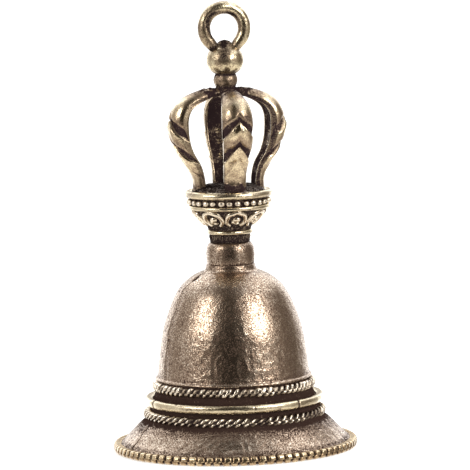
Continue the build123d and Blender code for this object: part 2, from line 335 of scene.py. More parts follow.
BODY = brass(
    "cast_brass", age=0.47, grain=0.66, blotch=0.14, rough=(0.18, 0.32),
    clean=(0.82, 0.715, 0.59), mid=(0.385, 0.28, 0.205), dark=(0.045, 0.027, 0.022), pits=0.026, dents=0.02,
)
ROPE = brass(
    "rope_brass", age=-0.02, grain=0.22, blotch=0.16, rough=(0.24, 0.5),
    clean=(1.0, 0.91, 0.77), dark=(0.028, 0.018, 0.018), pits=0.015, dents=0.02,
)
RIM = brass(
    "rim_brass", age=0.14, grain=0.28, blotch=0.2, rough=(0.18, 0.5),
    clean=(0.84, 0.70, 0.47), mid=(0.42, 0.29, 0.17), dark=(0.028, 0.018, 0.016), pits=0.015, dents=0.025,
)
RING = brass(
    "ring_brass", age=0.08, grain=0.26, blotch=0.2, rough=(0.22, 0.45),
    clean=(0.88, 0.78, 0.56), pits=0.014, dents=0.03,
)
BEAD = brass(
    "bead_brass", age=-0.06, grain=0.12, blotch=0.12, rough=(0.34, 0.5),
    clean=(0.93, 0.84, 0.70), pits=0.01,
)
CUP = brass(
    "cup_brass", age=-0.02, grain=0.26, blotch=0.12, rough=(0.22, 0.5),
    clean=(0.99, 0.89, 0.73), dark=(0.018, 0.011, 0.011), pits=0.015, dents=0.03,
)
RECESS = brass(
    "recess_brass", age=0.9, grain=0.5, blotch=0.3, rough=(0.25, 0.6),
    clean=(0.62, 0.58, 0.52), mid=(0.22, 0.18, 0.16), dark=(0.016, 0.011, 0.010), pits=0.05,
)
CROWN = brass(
    "crown_brass", age=0.15, grain=0.34, blotch=0.2, rough=(0.14, 0.5),
    clean=(0.84, 0.72, 0.50), mid=(0.40, 0.30, 0.21), dark=(0.034, 0.021, 0.022), pits=0.015, dents=0.03,
)
FINIAL = brass(
    "finial_brass", age=0.24, grain=0.42, blotch=0.22, rough=(0.16, 0.5),
    clean=(0.86, 0.77, 0.53), mid=(0.38, 0.29, 0.20), dark=(0.020, 0.013, 0.012), pits=0.02, dents=0.05,
)
INSIDE = brass("clapper_brass", age=0.35, grain=0.3, blotch=0.2, rough=(0.3, 0.5))


# ---- the bell ----

SEAM = math.radians(191.5)  # mould seam, with its other half opposite
SEAM_WIDTH, SEAM_DEPTH = 0.10, 0.09
JOINT = math.radians(303)  # where the waist ring's wire meets

# Heights on the cup. A pair is where something starts and where it is complete.
RIM_EDGE = (1.05, 1.5)
SEAM_DEEP_BELOW = 3.2
BAND_FOOT, BAND_TOP = (3.0, 3.6), (7.75, 7.95)
LEDGE_LIP, LEDGE_EDGE = 8.08, 8.40
WRINKLES_FADE = (9.0, 15.0)
CHIP_HEIGHT = 19.15
NECK_CREASE, NECK_STEP = 19.83, (19.9, 20.1)
CHIP_WIDTH, CHIP_TALL, CHIP_DEPTH = 0.34, 0.26, 0.22


def away(angle, centre):
    """Signed angle from a bearing, in radians."""
    return (angle - centre + math.pi) % TURN - math.pi


def bell_relief(A, R, Z):
    P = polar(A, R, Z)
    outer = np.zeros_like(Z)
    outer[:, :OUTSIDE_COUNT] = 1.0
    wrinkle = (1 - np.abs(noise(P, 0.9, 4))) * (1 - np.abs(noise(P, 0.55, 8)))
    low = 1 - smoothstep(Z, *WRINKLES_FADE)
    push = 0.03 * noise(P, 4.0, 1) + 0.014 * noise(P, 1.3, 2) + 0.007 * noise(P, 0.42, 3)
    push = push + (0.012 + 0.034 * low) * (wrinkle - 0.4)
    wander = 0.02 * np.sin(Z * 1.7) + 0.01 * np.sin(Z * 4.1)
    seam = 0
    for side, strength in ((SEAM, 1.0), (SEAM - math.pi, 0.6)):
        across = away(A, side + wander) * R
        fade = 0.35 + 0.65 * smoothstep(noise(P, 2.2, 9), -0.5, 0.5)
        fade = np.where(Z < SEAM_DEEP_BELOW, 1.5, fade)
        seam = seam + bump(across, 0, SEAM_WIDTH) * strength * fade
        push = push - SEAM_DEPTH * bump(across, 0, SEAM_WIDTH) * strength * fade
        push = push + 0.03 * bump(across, 0.22, 0.12) * strength
    chip = bump(away(A, SEAM) * R, 0.1, CHIP_WIDTH) * bump(Z, CHIP_HEIGHT, CHIP_TALL)
    push = push - CHIP_DEPTH * chip
    band = smoothstep(Z, *BAND_FOOT) * (1 - smoothstep(Z, *BAND_TOP))
    neck = 0.3 * smoothstep(Z, *NECK_STEP) - 0.5 * bump(Z, NECK_CREASE, 0.10)
    rim = 1 - smoothstep(Z, *RIM_EDGE)
    # The ledge's lip gets a painted highlight in patches; just above the ledge the metal is a little darker.
    glint_patches = smoothstep(noise(P, 2.6, 10), -0.5, 0.1)
    foot = bump(Z, LEDGE_EDGE, 0.16) * 0.2 - 0.55 * bump(Z, LEDGE_LIP, 0.09) * glint_patches
    under = bump(Z, BAND_FOOT[0], 0.6) * 0.35
    patina_and_shading = np.clip(0.95 * band + 0.35 * neck + 0.3 * rim + foot + under, -0.5, 1) + seam * 0.6 + 1.2 * chip
    patina_and_shading = patina_and_shading + 0.10 * noise(P, 3.0, 5) - 0.12 * (wrinkle - 0.5)
    patina_and_shading = np.where(outer > 0, patina_and_shading, 0.25 + 0.15 * noise(P, 3.0, 6))
    push = np.where(outer > 0, push, push * 0.7)
    return push * (R > 0.01), {"patina_and_shading": patina_and_shading}


outside = through(
    [
        (2.40, 20.16), (2.76, 20.12), (2.86, 19.94), (3.02, 19.80), (3.45, 19.64), (4.00, 19.38),
        (4.60, 19.00), (5.30, 18.42), (5.90, 17.70), (6.52, 16.55), (7.00, 15.40), (7.42, 14.20),
        (7.72, 13.10), (7.94, 11.80), (8.10, 10.50), (8.22, 9.60), (8.33, 8.70), (8.40, 8.22),
    ],
    210,
)
ledge = through([(8.40, 8.22), (8.56, 8.12), (8.64, 7.98), (8.52, 7.90), (8.40, 7.80), (8.45, 7.4)], 26)[1:]
skirt = through(
    [
        (8.45, 7.40), (8.62, 6.60), (8.98, 5.80), (9.25, 4.90), (9.50, 4.20), (9.85, 3.62), (10.50, 3.02),
        (11.20, 2.35), (12.00, 1.52), (12.72, 0.85),
    ],
    110,
)[1:]
lip = straight([(12.72, 0.85), (12.75, 0.02), (11.90, 0.02)], 0.2)[1:]
inside = through(
    [
        (11.90, 0.02), (10.35, 1.65), (9.05, 3.25), (8.22, 4.90), (7.62, 6.60), (7.25, 8.40), (6.95, 10.80),
        (6.45, 13.30), (5.40, 15.90), (4.00, 17.60), (2.40, 18.60),
    ],
    100,
)[1:]
OUTSIDE_COUNT = 1 + len(outside) + len(ledge) + len(skirt)
bell_profile = to_axis(np.concatenate([outside, ledge, skirt, lip, inside]), 20.16, 18.60)
turned_piece("bell_cup_cast", "bell_cup", bell_profile, 840, bell_relief, BODY)


ROPE_SIDES, STEPS_PER_STRAND = 34, 10


def rope_section(wire, strands, lean, depth, seed, gap, square, worn_top, missing, face):
    """Twisted or notched strands: touching crests with grooves between.

    gap is where the groove ends and where the crest is full, from 0 in a groove to 1 on a crest. square is 2
    for a round wire and more for a squarer one. worn_top is how far wear has flattened the top, missing how far
    some stretches have faded, and face how much painted shade the outer face gets.
    """

    def section(A, B):
        ring_at = polar(A, 9, A * 0 + seed)
        phase = strands * A + lean * B + 0.8 * noise(ring_at, 1.6, seed)
        uneven = 0.12 * noise(np.stack([phase / 6, A * 0, A * 0 + seed], axis=-1), 0.8, seed + 6)
        crest = smoothstep(np.abs(np.sin(phase / 2)), gap[0] + uneven, gap[1] + uneven)
        patch = smoothstep(noise(ring_at, 1.5, seed + 3), -0.25, 0.35)
        here = depth * (0.85 + 0.35 * noise(ring_at, 1.1, seed + 1))
        here = here * (1 - worn_top * patch * smoothstep(np.sin(B), 0.25, 0.75))
        faded = missing * (1 - smoothstep(noise(ring_at, 1.0, seed + 4), -0.55, 0.05))
        box = (np.abs(np.cos(B)) ** square + np.abs(np.sin(B)) ** square) ** (-1 / square)
        w = wire * box * (1 - here * (1 - crest)) * (1 - 0.18 * faded)
        w = w * (1 + 0.05 * noise(ring_at, 0.8, seed + 2))
        outer_face = bump(B % TURN, TURN - 0.15, 0.4)
        # Dark between the strands and on faded stretches, with painted shade on the outer face and on the
        # underside.
        patina_and_shading = (1 - crest) * 1.5 * (here / depth) + 0.5 * faded + face * outer_face * crest
        return w, {"patina_and_shading": patina_and_shading + 0.2 * np.clip(-np.sin(B), 0, 1) ** 2}

    return section


def rope_piece(name, node, radius, height, material, strands, **shape):
    section = rope_section(strands=strands, **shape)
    around = strands * STEPS_PER_STRAND
    ring_piece(name, node, radius, height, section, ROPE_SIDES, around, material)


rope_piece(
    "upper_rope_twist", "upper_rope", 8.46, 7.20, ROPE, strands=72, wire=0.56, lean=-1.7, depth=0.56, seed=11,
    gap=(0.36, 0.80), square=2.4, worn_top=0.85, missing=0.8, face=0.0,
)
rope_piece(
    "lower_rope_twist", "lower_rope", 9.56, 4.10, ROPE, strands=68, wire=0.54, lean=-2.6, depth=0.58, seed=17,
    gap=(0.56, 0.92), square=2.3, worn_top=0.3, missing=1.1, face=0.0,
)
rope_piece(
    "rim_rope_lobes", "rim_rope", 13.00, 0.50, RIM, strands=86, wire=0.48, lean=0.25, depth=0.52, seed=23,
    gap=(0.22, 0.60), square=3.0, worn_top=0.1, missing=0.1, face=0.3,
)


def waist_section(A, B):
    P = polar(A, 9.4, B * 0.5)
    w = 0.47 * (1 - 0.06 * np.cos(3 * B + 0.6)) + 0.018 * noise(P, 0.7, 31) + 0.012 * noise(P, 2.5, 32)
    notch = bump(away(A, JOINT), 0, 0.012) + 0.8 * bump(away(A, SEAM), 0, 0.012)
    dents = smoothstep(noise(P, 0.45, 33), 0.55, 0.8)
    w = w - 0.09 * notch - 0.03 * dents
    patina_and_shading = notch + 0.45 * dents + 0.2 * (np.abs(np.sin(B)) > 0.85)
    return w, {"patina_and_shading": patina_and_shading}


ring_piece("waist_ring_wire", "waist_ring", 9.43, 5.57, waist_section, 36, 900, RING)


# ---- the neck ----


def collar_relief(A, R, Z):
    P = polar(A, R, Z)
    push = 0.02 * noise(P, 1.8, 41) + 0.008 * noise(P, 0.5, 42)
    patina_and_shading = 0.05 + 0.5 * smoothstep(Z, 22.75, 23.0) + 0.35 * bump(Z, 20.55, 0.12) + 0.1 * noise(P, 1.2, 43)
    return push, {"patina_and_shading": patina_and_shading}


barrel = through(
    [
        (2.12, 22.95), (2.34, 22.80), (2.56, 22.45), (2.66, 21.90), (2.68, 21.30), (2.64, 20.80), (2.58, 20.52),
    ],
    60,
)
turned_piece("neck_collar_barrel", "neck_collar", to_axis(barrel, 22.95, 20.50), 240, collar_relief, BODY)


def step_relief(A, R, Z):
    P = polar(A, R, Z)
    return 0.05 * noise(P, 0.9, 45) - 0.02, {"patina_and_shading": 0.12 + 0.2 * noise(P, 0.6, 46)}


step = through([(2.60, 20.52), (2.70, 20.46), (2.74, 20.32), (2.77, 20.18), (2.80, 20.06), (2.82, 19.98)], 26)
turned_piece("shoulder_step", "shoulder_ring", to_axis(step, 20.52, 19.96), 240, step_relief, BODY)


# ---- the lotus cup ----

FLANK = through(
    [(2.36, 24.40), (2.50, 24.80), (2.92, 25.25), (3.42, 25.80), (3.84, 26.30), (4.16, 26.83)],
    60,
)


def flank_radius(z):
    return np.interp(z, FLANK[:, 1], FLANK[:, 0])


MILLED_RIDGES, MILLED_HEIGHT = 52, 23.55  # the milled band below the foot ring


def cup_relief(A, R, Z):
    P = polar(A, R, Z)
    mill = bump(Z, MILLED_HEIGHT, 0.22) * (R > 1)
    ridges = np.cos(MILLED_RIDGES * A)
    push = 0.015 * noise(P, 1.2, 51) + 0.008 * noise(P, 0.4, 52)
    push = push + 0.07 * mill * (0.5 + 0.5 * ridges)
    patina_and_shading = 1.15 + 0.12 * noise(P, 0.8, 53)
    # The milled ridges' tops, in patches, and small specks near the foot are lightened as painted glints.
    patina_and_shading = patina_and_shading - 1.1 * mill * smoothstep(ridges, 0.5, 1.0) * smoothstep(noise(P, 0.5, 55), -0.2, 0.3)
    patina_and_shading = patina_and_shading - 0.45 * smoothstep(noise(P, 0.3, 54), 0.45, 0.7) * bump(Z, 24.6, 0.3)
    return push * (R > 1), {"patina_and_shading": patina_and_shading}


lotus = np.concatenate(
    [
        straight([(4.20, 28.45), (4.28, 28.10), (4.28, 27.05), (4.18, 26.83)], 0.1),
        FLANK[::-1][1:],
        straight([(2.36, 24.40), (2.22, 24.00), (2.20, 23.0)], 0.06)[1:],
    ]
)
turned_piece("lotus_cup_cast", "lotus_cup", to_axis(lotus, 28.45, 22.95), 312, cup_relief, CUP)


def wire_section(wire, seed, wobble=0.05):
    """A plain wire's section, a little uneven and pitted, with painted shade on its underside."""

    def section(A, B):
        P = polar(A, 4, B * 0.2 + seed)
        w = wire * (1 + wobble * noise(P, 0.9, seed) + 0.5 * wobble * noise(P, 0.35, seed + 1))
        pit = smoothstep(noise(P, 0.3, seed + 2), 0.6, 0.85)
        return w * (1 - 0.12 * pit), {"patina_and_shading": 0.6 * pit + 0.25 * np.clip(-np.sin(B), 0, 1)}

    return section


plain_roll = wire_section(0.40, 61, 0.03)
RIM_PIT = math.radians(277)  # bearing of a pit on the roll's top
RIM_LINE = math.radians(28)  # how far up from outwards a fine line runs


def rim_section(A, B):
    w, fields = plain_roll(A, B)
    pit = bump(away(A, RIM_PIT), 0, 0.03) * bump(B, math.pi / 2, 0.7)
    line = bump(away(B, RIM_LINE), 0, 0.16)
    return w - 0.12 * pit - 0.025 * line, {"patina_and_shading": fields["patina_and_shading"] + pit + 0.3 * line}


for name, node, radius, height, section, sides, around in (
    ("cup_rim_roll", "cup_rim_ring", 4.44, 28.34, rim_section, 28, 360),
    ("cup_lower_wire", "cup_lower_ring", 4.30, 26.90, wire_section(0.235, 65), 20, 300),
    ("cup_foot_wire", "cup_foot_ring", 2.28, 24.10, wire_section(0.245, 69), 20, 240),
):
    ring_piece(name, node, radius, height, section, sides, around, RING)


def local_axes(angle, lean):
    """Across, up the face and outwards, at a bearing about the axis."""
    out = np.array([math.cos(angle) * math.cos(lean), math.sin(angle) * math.cos(lean), -math.sin(lean)])
    across = np.array([-math.sin(angle), math.cos(angle), 0.0])
    return np.array([across, np.cross(out, across), out])


BEADS, BEAD_RADIUS, BEAD_HEIGHT = 30, 4.44, 27.50
PETALS = 8
# Half a petal's arch: distance from its middle and height, from the foot to the tip.
HALF_PETAL = np.array(
    [(-0.60, 24.98), (-0.92, 25.28), (-1.04, 25.72), (-0.86, 26.18), (-0.44, 26.42), (0.0, 26.48)]
)
# The three lumps of a boss: distance from the petal's middle, height, and half sizes.
BOSS = (
    (0.04, 25.70, (0.44, 0.34, 0.30)),
    (-0.32, 25.42, (0.18, 0.32, 0.20)),
    (0.12, 25.26, (0.34, 0.15, 0.18)),
)

rng = np.random.RandomState(7)
beads = []
for k in range(BEADS):
    angle = k * TURN / BEADS + FRONT + rng.uniform(-0.012, 0.012)
    centre = (
        BEAD_RADIUS * math.cos(angle), BEAD_RADIUS * math.sin(angle), BEAD_HEIGHT + rng.uniform(-0.03, 0.03)
    )
    radii = (0.34 * rng.uniform(0.85, 1.08), 0.28 * rng.uniform(0.88, 1.06), 0.24)
    lump = blob(centre, local_axes(angle, math.radians(-8)), radii, power=0.75)
    beads.append((lump, {"patina_and_shading": 0.0}, True, False))
piece("cup_bead_row", beads, BEAD, ["cup_beads"])


def petal_section(seed):
    """A petal's wire, thinner at its two ends, with painted shade on its back towards the flank and on its
    sides.
    """

    def section(T, B):
        taper = 0.7 + 0.3 * np.sin(np.clip(T, 0.001, 0.999) * math.pi) ** 0.5
        P = np.stack([T * 6, np.cos(B) * 0.3, np.sin(B) * 0.3 + seed], axis=-1)
        w = 0.275 * taper * (1 + 0.22 * noise(P, 0.8, seed))
        return w, {"patina_and_shading": 0.5 * np.clip(-np.cos(B), 0, 1) + 0.15 * np.abs(np.sin(B))}

    return section


petals, bosses = [], []
for k in range(PETALS):
    bearing = k * TURN / PETALS + FRONT
    half = HALF_PETAL + rng.uniform(-0.05, 0.05, HALF_PETAL.shape)
    arch = through(np.concatenate([half, (half * (-1, 1))[-2::-1]]), 64)
    stand = flank_radius(arch[:, 1]) + 0.03
    turn = bearing + arch[:, 0] / np.maximum(stand, 3.0)
    path = polar(turn, stand, arch[:, 1])
    outward = np.stack([np.cos(turn), np.sin(turn), -0.6 + 0 * turn], axis=-1)
    points, fields = capped(*tube(path, petal_section(70 + k), 14, outward))
    petals.append((points, fields, False, True))
    for off, height, size in BOSS:
        radius = flank_radius(height)
        spot = bearing + off / radius
        centre = (radius * math.cos(spot), radius * math.sin(spot), height)
        lump = blob(centre, local_axes(spot, math.radians(40)), size)
        bosses.append((lump, {"patina_and_shading": 0.04}, True, False))
piece("lotus_petal_arches", petals, CUP, ["lotus_petals"])
piece("lotus_petal_bosses", bosses, CUP, ["petal_bosses"])


# ---- the crown ----


def base_relief(A, R, Z):
    P = polar(A, R, Z)
    push = 0.09 * noise(P, 0.9, 81) + 0.04 * noise(P, 0.4, 82)
    # The disc's outer slope is lightened in patches as a painted highlight.
    lit_edge = smoothstep(R, 3.25, 3.7) * smoothstep(noise(P, 1.0, 84), -0.5, 0.2)
    return push * (Z > 28.6) * (R > 0.05), {"patina_and_shading": 0.1 + 0.25 * noise(P, 0.8, 83) - 0.6 * lit_edge}


base = through([(0.3, 29.32), (1.60, 29.32), (3.10, 29.20), (3.70, 29.02), (4.00, 28.72), (4.04, 28.52)], 60)
turned_piece(
    "crown_base_disc", "crown_base", to_axis(base, 29.32, 28.50), 240, base_relief, RECESS
)

# One prong's sections from foot to hub: outer radius and height, inner radius and height, width.
PRONG = through(
    [
        (3.90, 28.56, 2.75, 28.56, 2.42), (4.05, 30.20, 2.90, 30.30, 2.50), (4.60, 31.30, 3.20, 31.45, 2.65),
        (5.55, 32.80, 4.00, 32.90, 2.95), (6.28, 34.40, 4.45, 34.30, 3.25), (6.54, 35.90, 4.60, 35.80, 3.42),
        (6.33, 37.25, 4.52, 36.90, 3.38), (5.72, 38.35, 4.15, 37.70, 3.15), (4.70, 39.12, 3.50, 38.25, 2.80),
        (3.50, 39.62, 2.65, 38.65, 2.40), (2.15, 39.95, 1.90, 38.95, 2.05), (0.80, 40.02, 0.80, 39.15, 1.70),
    ],
    320,
)
# Each groove: height of the tip below it, depth, how far the leaf below the groove stands out.
CHEVRONS = ((36.62, 0.40, 0.26), (33.85, 0.40, 0.14), (32.15, 0.05, 0.02))
ARM_DROP = 1.85  # how far a groove's arm falls from the crown line to the prong's side
RUNG_HEIGHTS, RUNG_SIDE = (34.99, 34.69, 33.83, 33.53, 32.37, 32.07), 0.12
FLANK_DEPTH = 0.36  # share of the depth that the straight flanks take up
HOLLOW_HALF, HOLLOW_POINTS = 0.84, 30
ON_INSIDE = 2.0  # marks the points inside, which no groove reaches
ARM_HEIGHTS, FOOT_HEIGHTS = (37.0, 38.0), (29.0, 32.0)


def prong_outline():
    """D section: depth from 0 inside to 1 outside, side from -1 to 1, and reach from the crown line."""
    across = np.cos(np.linspace(0, math.pi, 64))
    crown = 0.34 + 0.66 * (1 - np.abs(across) ** 2.15) ** 0.58
    down = np.linspace(0.95, 0.04, 14) * FLANK_DEPTH
    flank = 0.94 + 0.06 * (down / FLANK_DEPTH) ** 0.7 + 0.02 * bump(down, 0.04, 0.03)
    flat = np.linspace(-HOLLOW_HALF, HOLLOW_HALF, HOLLOW_POINTS)
    hollow = 0.02 + 0.13 * (1 - (flat / HOLLOW_HALF) ** 2) ** 0.7
    depth = np.concatenate([down[::-1], crown, down, hollow])
    side = np.concatenate([flank[::-1], across, -flank, flat])
    beyond = 1.0 + (FLANK_DEPTH - down) / FLANK_DEPTH * 0.30
    reach = np.concatenate([beyond[::-1], np.abs(across), beyond, np.full(HOLLOW_POINTS, ON_INSIDE)])
    return depth[None], side[None], reach[None]


def prong_grid(bearing, seed, flank_shade, dark_foot):
    depth, side, reach = prong_outline()
    o_r, o_z, i_r, i_z, width = (PRONG[:, k][:, None] for k in range(5))
    across = side * width / 2
    r = i_r + (o_r - i_r) * depth
    z = i_z + (o_z - i_z) * depth
    local = np.stack([r, across + 0 * r, z], axis=-1)
    unit_r, unit_z = (o_r - i_r), (o_z - i_z)
    size = np.hypot(unit_r, unit_z)
    unit_r, unit_z = unit_r / size, unit_z / size
    outer = (reach < ON_INSIDE) * np.ones_like(r)
    inner = 1 - outer
    front = smoothstep(depth, 0.02, 0.30) * outer
    climb = smoothstep(np.gradient(PRONG[:, 1])[:, None], 0.0, 0.02)
    high = smoothstep(o_z, *ARM_HEIGHTS)
    push = 0.02 * noise(local, 1.3, seed) + 0.012 * noise(local, 0.45, seed + 1)
    narrow = 0 * r
    patina_and_shading = 0.02 + 0.14 * noise(local, 0.7, seed + 2) + 0 * r

    # The grooves: a steep wall over the lower leaf's edge, a floor darkened as painted shade, and a slope up
    # to the next leaf with lighter painted shade. The lower leaf's edge gets a painted highlight.
    for apex, deep, lift in CHEVRONS:
        line = apex - ARM_DROP * reach + 0.10 * noise(local, 0.9, seed + 5)
        above = o_z + 0 * r - line
        ends = smoothstep(reach, 1.30, 1.12)
        wall = smoothstep(above, -0.03, 0.14)
        span = 1 + 0.7 * bump(reach, 0.80, 0.32) - 0.8 * smoothstep(reach, 0.96, 1.26)
        wide = above / span
        rise = smoothstep(wide, 0.30, 1.0)
        trench = wall * (1 - rise) * ends
        soft = 0.15 + 0.65 * smoothstep(reach, 0.15, 0.45)
        edge_height = soft + (1 - soft) * smoothstep(-above, 0.0, 0.95)
        leaf = (1 - wall) * np.exp(np.clip(above, -9, 0) / 1.5) * edge_height
        push = push + (lift * leaf * front - deep * trench * (0.35 + 0.65 * front)) * climb
        narrow = narrow - 0.5 * deep * trench * outer * climb
        strong = min(1.0, deep / 0.3)
        # Painted shade on the groove's floor and the slope above it, and a painted highlight on the lower
        # leaf's edge.
        groove_shade = smoothstep(above, 0.02, 0.10) * (1 - smoothstep(wide, 0.48, 0.72)) * ends
        slope_shade = smoothstep(wide, 0.5, 0.65) * (1 - smoothstep(wide, 1.1, 1.6)) * ends
        lit_edge = bump(above, -0.04, 0.07) * ends
        patina_and_shading = patina_and_shading + (1.15 * groove_shade + 0.4 * slope_shade - 0.2 * lit_edge) * outer * strong * climb

    # The foot's rough, dark joint with the disc, and the crinkled arm at the hub.
    foot = 1 - smoothstep(o_z, *FOOT_HEIGHTS)
    sunk = dark_foot * (1 - smoothstep(o_z + 0.35 * noise(local, 0.5, seed + 8), 29.25, 29.75))
    push = push + (0.10 + 0.08 * noise(local, 0.35, seed + 9)) * sunk * outer
    arm = 0.60 * (1 - smoothstep(o_r, 3.4, 5.6)) + 0.4 * (1 - smoothstep(o_r, 2.2, 3.4))
    crinkle = noise(local, 0.35, seed + 6) * (1 - smoothstep(o_r, 2.4, 3.6)) * high
    push = push + 0.09 * crinkle * outer
    patina_and_shading = patina_and_shading + (0.22 * foot + 0.75 * sunk) * outer + (arm + 0.65 * crinkle) * outer * high
    # The flanks get painted shade along their middle, and the right prong's flanks all over.
    patina_and_shading = patina_and_shading + 0.3 * bump(depth, 0.16, 0.12) * outer * (reach > 1) + flank_shade * (reach > 1) * outer

    # The inside: painted shade, with pairs of small rungs painted as bright glints, and two corners painted as
    # highlights.
    for height in RUNG_HEIGHTS:
        rung = bump(i_z, height, 0.07) * bump(side, RUNG_SIDE, 0.14) * inner
        push = push + 0.16 * rung
        patina_and_shading = patina_and_shading - 1.4 * rung
    patina_and_shading = patina_and_shading + inner * (0.92 + 0.15 * noise(local, 0.6, seed + 3))
    corner = bump(np.abs(side), 0.86, 0.05) * inner + bump(depth, 0.02, 0.03) * outer
    patina_and_shading = patina_and_shading - 0.8 * corner

    local[..., 0] += push * unit_r
    local[..., 2] += push * unit_z
    local[..., 1] += narrow * np.sign(side) * smoothstep(reach, 0.85, 1.05)
    c, s = math.cos(bearing), math.sin(bearing)
    x, y = local[..., 0], local[..., 1]
    points = np.stack([x * c - y * s, x * s + y * c, local[..., 2]], axis=-1)
    return capped(points, {"patina_and_shading": patina_and_shading})


# Bearing in degrees, how much painted shade its flanks get and how dark its foot is.
PRONGS = {"right": (0, 0.5, 0.5), "back": (86.5, 0.0, 0.5), "left": (180, 0.0, 0.3), "front": (270, 0.0, 1.0)}
for k, (name, (turn, flank_shade, dark_foot)) in enumerate(PRONGS.items()):
    points, fields = prong_grid(math.radians(turn), 90 + 7 * k, flank_shade, dark_foot)
    grid = (points, fields, False, True)
    piece(f"crown_prong_{name}", [grid], CROWN, [f"prong_{name}"])


def hub_relief(A, R, Z):
    P = polar(A, R, Z)
    push = 0.03 * noise(P, 0.7, 121) + 0.012 * noise(P, 0.3, 122)
    waist = bump(Z, 39.85, 0.35) + bump(Z, 41.5, 0.2)
    return push * (R > 0.05), {"patina_and_shading": 0.52 + 0.7 * waist + 0.2 * noise(P, 0.5, 123)}


hub = through(
    [
        (0.9, 41.85), (1.12, 41.45), (1.28, 41.10), (1.33, 40.78), (1.26, 40.42), (1.12, 40.15),
        (1.08, 39.80), (1.12, 39.45), (0.95, 39.10), (0.60, 38.85), (0.1, 38.70),
    ],
    90,
)
turned_piece("crown_hub_collar", "crown_hub", to_axis(hub, 41.9, 38.68), 160, hub_relief, CROWN)

TONGUE = math.radians(252)  # bearing of the dark tongue that runs down the ball


def ball_relief(A, R, Z):
    P = polar(A, R, Z)
    push = 0.03 * noise(P, 1.5, 131) + 0.012 * noise(P, 0.5, 132)
    nub = smoothstep(Z, 44.35, 44.7)
    tongue = bump(away(A, TONGUE), 0, 0.40) * smoothstep(Z, 42.4, 43.3)
    patina_and_shading = 0.02 + 0.7 * nub + 0.6 * bump(Z, 41.45, 0.3) + 0.22 * noise(P, 0.8, 133) + 0.7 * tongue
    # A lighter band below the ball's middle is a painted reflection of the bright floor.
    patina_and_shading = patina_and_shading - 0.3 * bump(Z, 42.2, 0.3)
    return push * (R > 0.05), {"patina_and_shading": patina_and_shading}


ball = through(
    [
        (0.1, 45.20), (0.55, 45.06), (0.86, 44.78), (1.12, 44.48), (1.55, 44.16), (1.92, 43.62),
        (2.05, 43.00), (1.93, 42.38), (1.55, 41.82), (1.05, 41.48), (0.4, 41.35),
    ],
    110,
)
turned_piece(
    "finial_ball_cast", "finial_ball", to_axis(ball, 45.20, 41.34), 200, ball_relief, FINIAL
)

LOOP_RADIUS, LOOP_HEIGHT, LOOP_WIRE, LOOP_HALF = 2.27, 46.50, 0.715, 130
turns = np.radians(np.linspace(-LOOP_HALF, LOOP_HALF, 120))
arc = np.stack([LOOP_RADIUS * np.sin(turns), 0 * turns, LOOP_HEIGHT + LOOP_RADIUS * np.cos(turns)], axis=-1)
leg = np.array([math.cos(math.radians(LOOP_HALF)), 0, -math.sin(math.radians(LOOP_HALF))])
left_leg = [arc[0] + leg * (-1, 1, 1) * f for f in np.linspace(1.15, 0.05, 16)]
right_leg = [arc[-1] + leg * f for f in np.linspace(0.05, 1.15, 16)]
loop_path = np.concatenate([left_leg, arc, right_leg])


def loop_wire(T, B):
    P = np.stack([T * 16, np.cos(B) * 0.7, np.sin(B) * 0.7], axis=-1)
    from_end = np.minimum(T, 1 - T)
    ends = 1 - 0.16 * (1 - smoothstep(from_end, 0.03, 0.14))
    w = LOOP_WIRE * ends * (1 - 0.03 * np.cos(2 * B))
    w = w + 0.032 * noise(P, 1.1, 141) + 0.016 * noise(P, 0.45, 142)
    inner = np.clip(-np.cos(B), 0, 1)
    crease = bump(T, 0.30, 0.13) * bump(away(B, 2.2 + 0.5 * np.sin(T * 14)), 0, 0.3)
    crease = crease + bump(T, 0.60, 0.09) * bump(away(B, 2.5), 0, 0.3)
    w = w - 0.16 * crease
    patina_and_shading = 0.36 - 0.44 * smoothstep(T, 0.2, 0.6) + 1.3 * crease + 0.30 * inner**2
    patina_and_shading = patina_and_shading + 0.35 * (1 - smoothstep(from_end, 0.03, 0.10)) + 0.12 * noise(P, 0.8, 143)
    return w, {"patina_and_shading": patina_and_shading}


outward = loop_path - np.array([0, 0, LOOP_HEIGHT])
points, fields = capped(*tube(loop_path, loop_wire, 32, outward))
piece("hanging_loop_cast", [(points, fields, False, True)], FINIAL, ["hanging_loop"])


# ---- nodes that keep their CAD shape ----

for node in ("handle_stud", "stud_washer", "stud_nut", "clapper_link", "clapper_rod", "clapper_ball"):
    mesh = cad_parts[node].data
    mesh.materials.clear()
    mesh.materials.append(INSIDE)


# ---- floor, lights and camera: lengths are in metres from here on ----

scene = bpy.context.scene
scene.view_settings.view_transform = "Standard"

BEARING = math.radians(-13)  # the camera's bearing from the front
TO_CAMERA = Vector((math.sin(BEARING), -math.cos(BEARING), 0))
RIGHT = Vector((math.cos(BEARING), math.sin(BEARING), 0))
FLOOR_HALF = 3.0


def white_floor():
    """Nearly white from above, and clear from below."""
    mat = bpy.data.materials.new("floor_white")
    mat.use_nodes = True
    t = mat.node_tree
    t.nodes.clear()
    at = add(t, "ShaderNodeTexCoord").outputs["Object"]
    grain = add(t, "ShaderNodeTexNoise", {"Vector": at, "Scale": 60.0}).outputs["Fac"]
    paint = add(t, "ShaderNodeBsdfDiffuse", {"Color": mapped(t, grain, 0.0, 1.0, 0.88, 0.92)})
    glow = add(t, "ShaderNodeEmission", {"Strength": 0.5})
    both = add(t, "ShaderNodeAddShader", {0: paint.outputs[0], 1: glow.outputs[0]})
    clear = add(t, "ShaderNodeBsdfTransparent")
    below = add(t, "ShaderNodeNewGeometry").outputs["Backfacing"]
    shown = add(t, "ShaderNodeMixShader", {0: below, 1: both.outputs[0], 2: clear.outputs[0]})
    add(t, "ShaderNodeOutputMaterial", {"Surface": shown.outputs[0]})
    return mat


